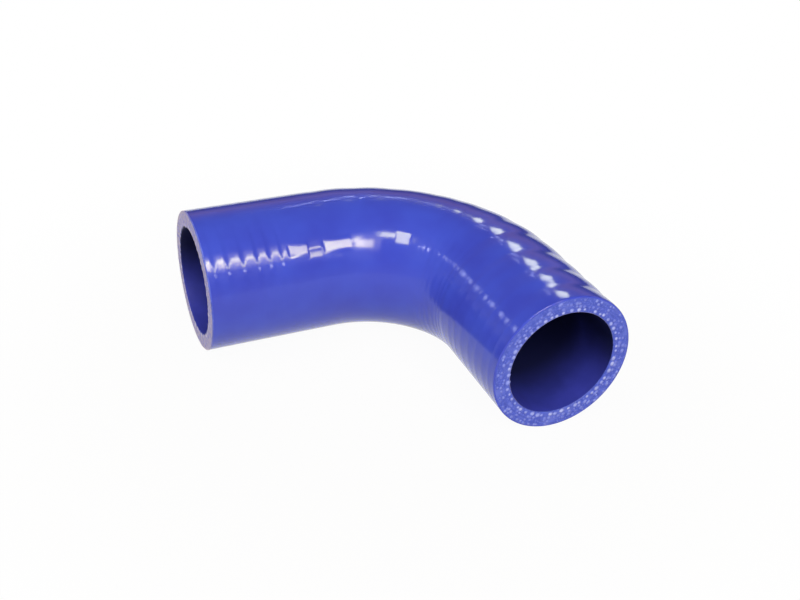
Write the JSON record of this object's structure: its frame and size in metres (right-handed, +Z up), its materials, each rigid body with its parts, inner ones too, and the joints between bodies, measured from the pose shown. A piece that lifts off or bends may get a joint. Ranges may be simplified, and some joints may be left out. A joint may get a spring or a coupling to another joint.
{
  "type": "silicone hose elbow",
  "caption": "Right-angle reinforced silicone rubber hose elbow with smooth round bore and scalloped tape-wrapped outside, for joining two pipe ends with clamps.",
  "frame": {"origin": "centre of the base of the bounding box, with the hose lying on its side", "axes": "+Z up, across the level plane of the bend; leg A runs along -X to its cut end, leg B along -Y to its cut end"},
  "size_m": [0.103, 0.096, 0.042],
  "materials": {
    "blue_silicone": "glossy coloured silicone"
  },
  "bodies": {
    "root": {"elbow_hose": "blue_silicone"}
  },
  "joints": []
}
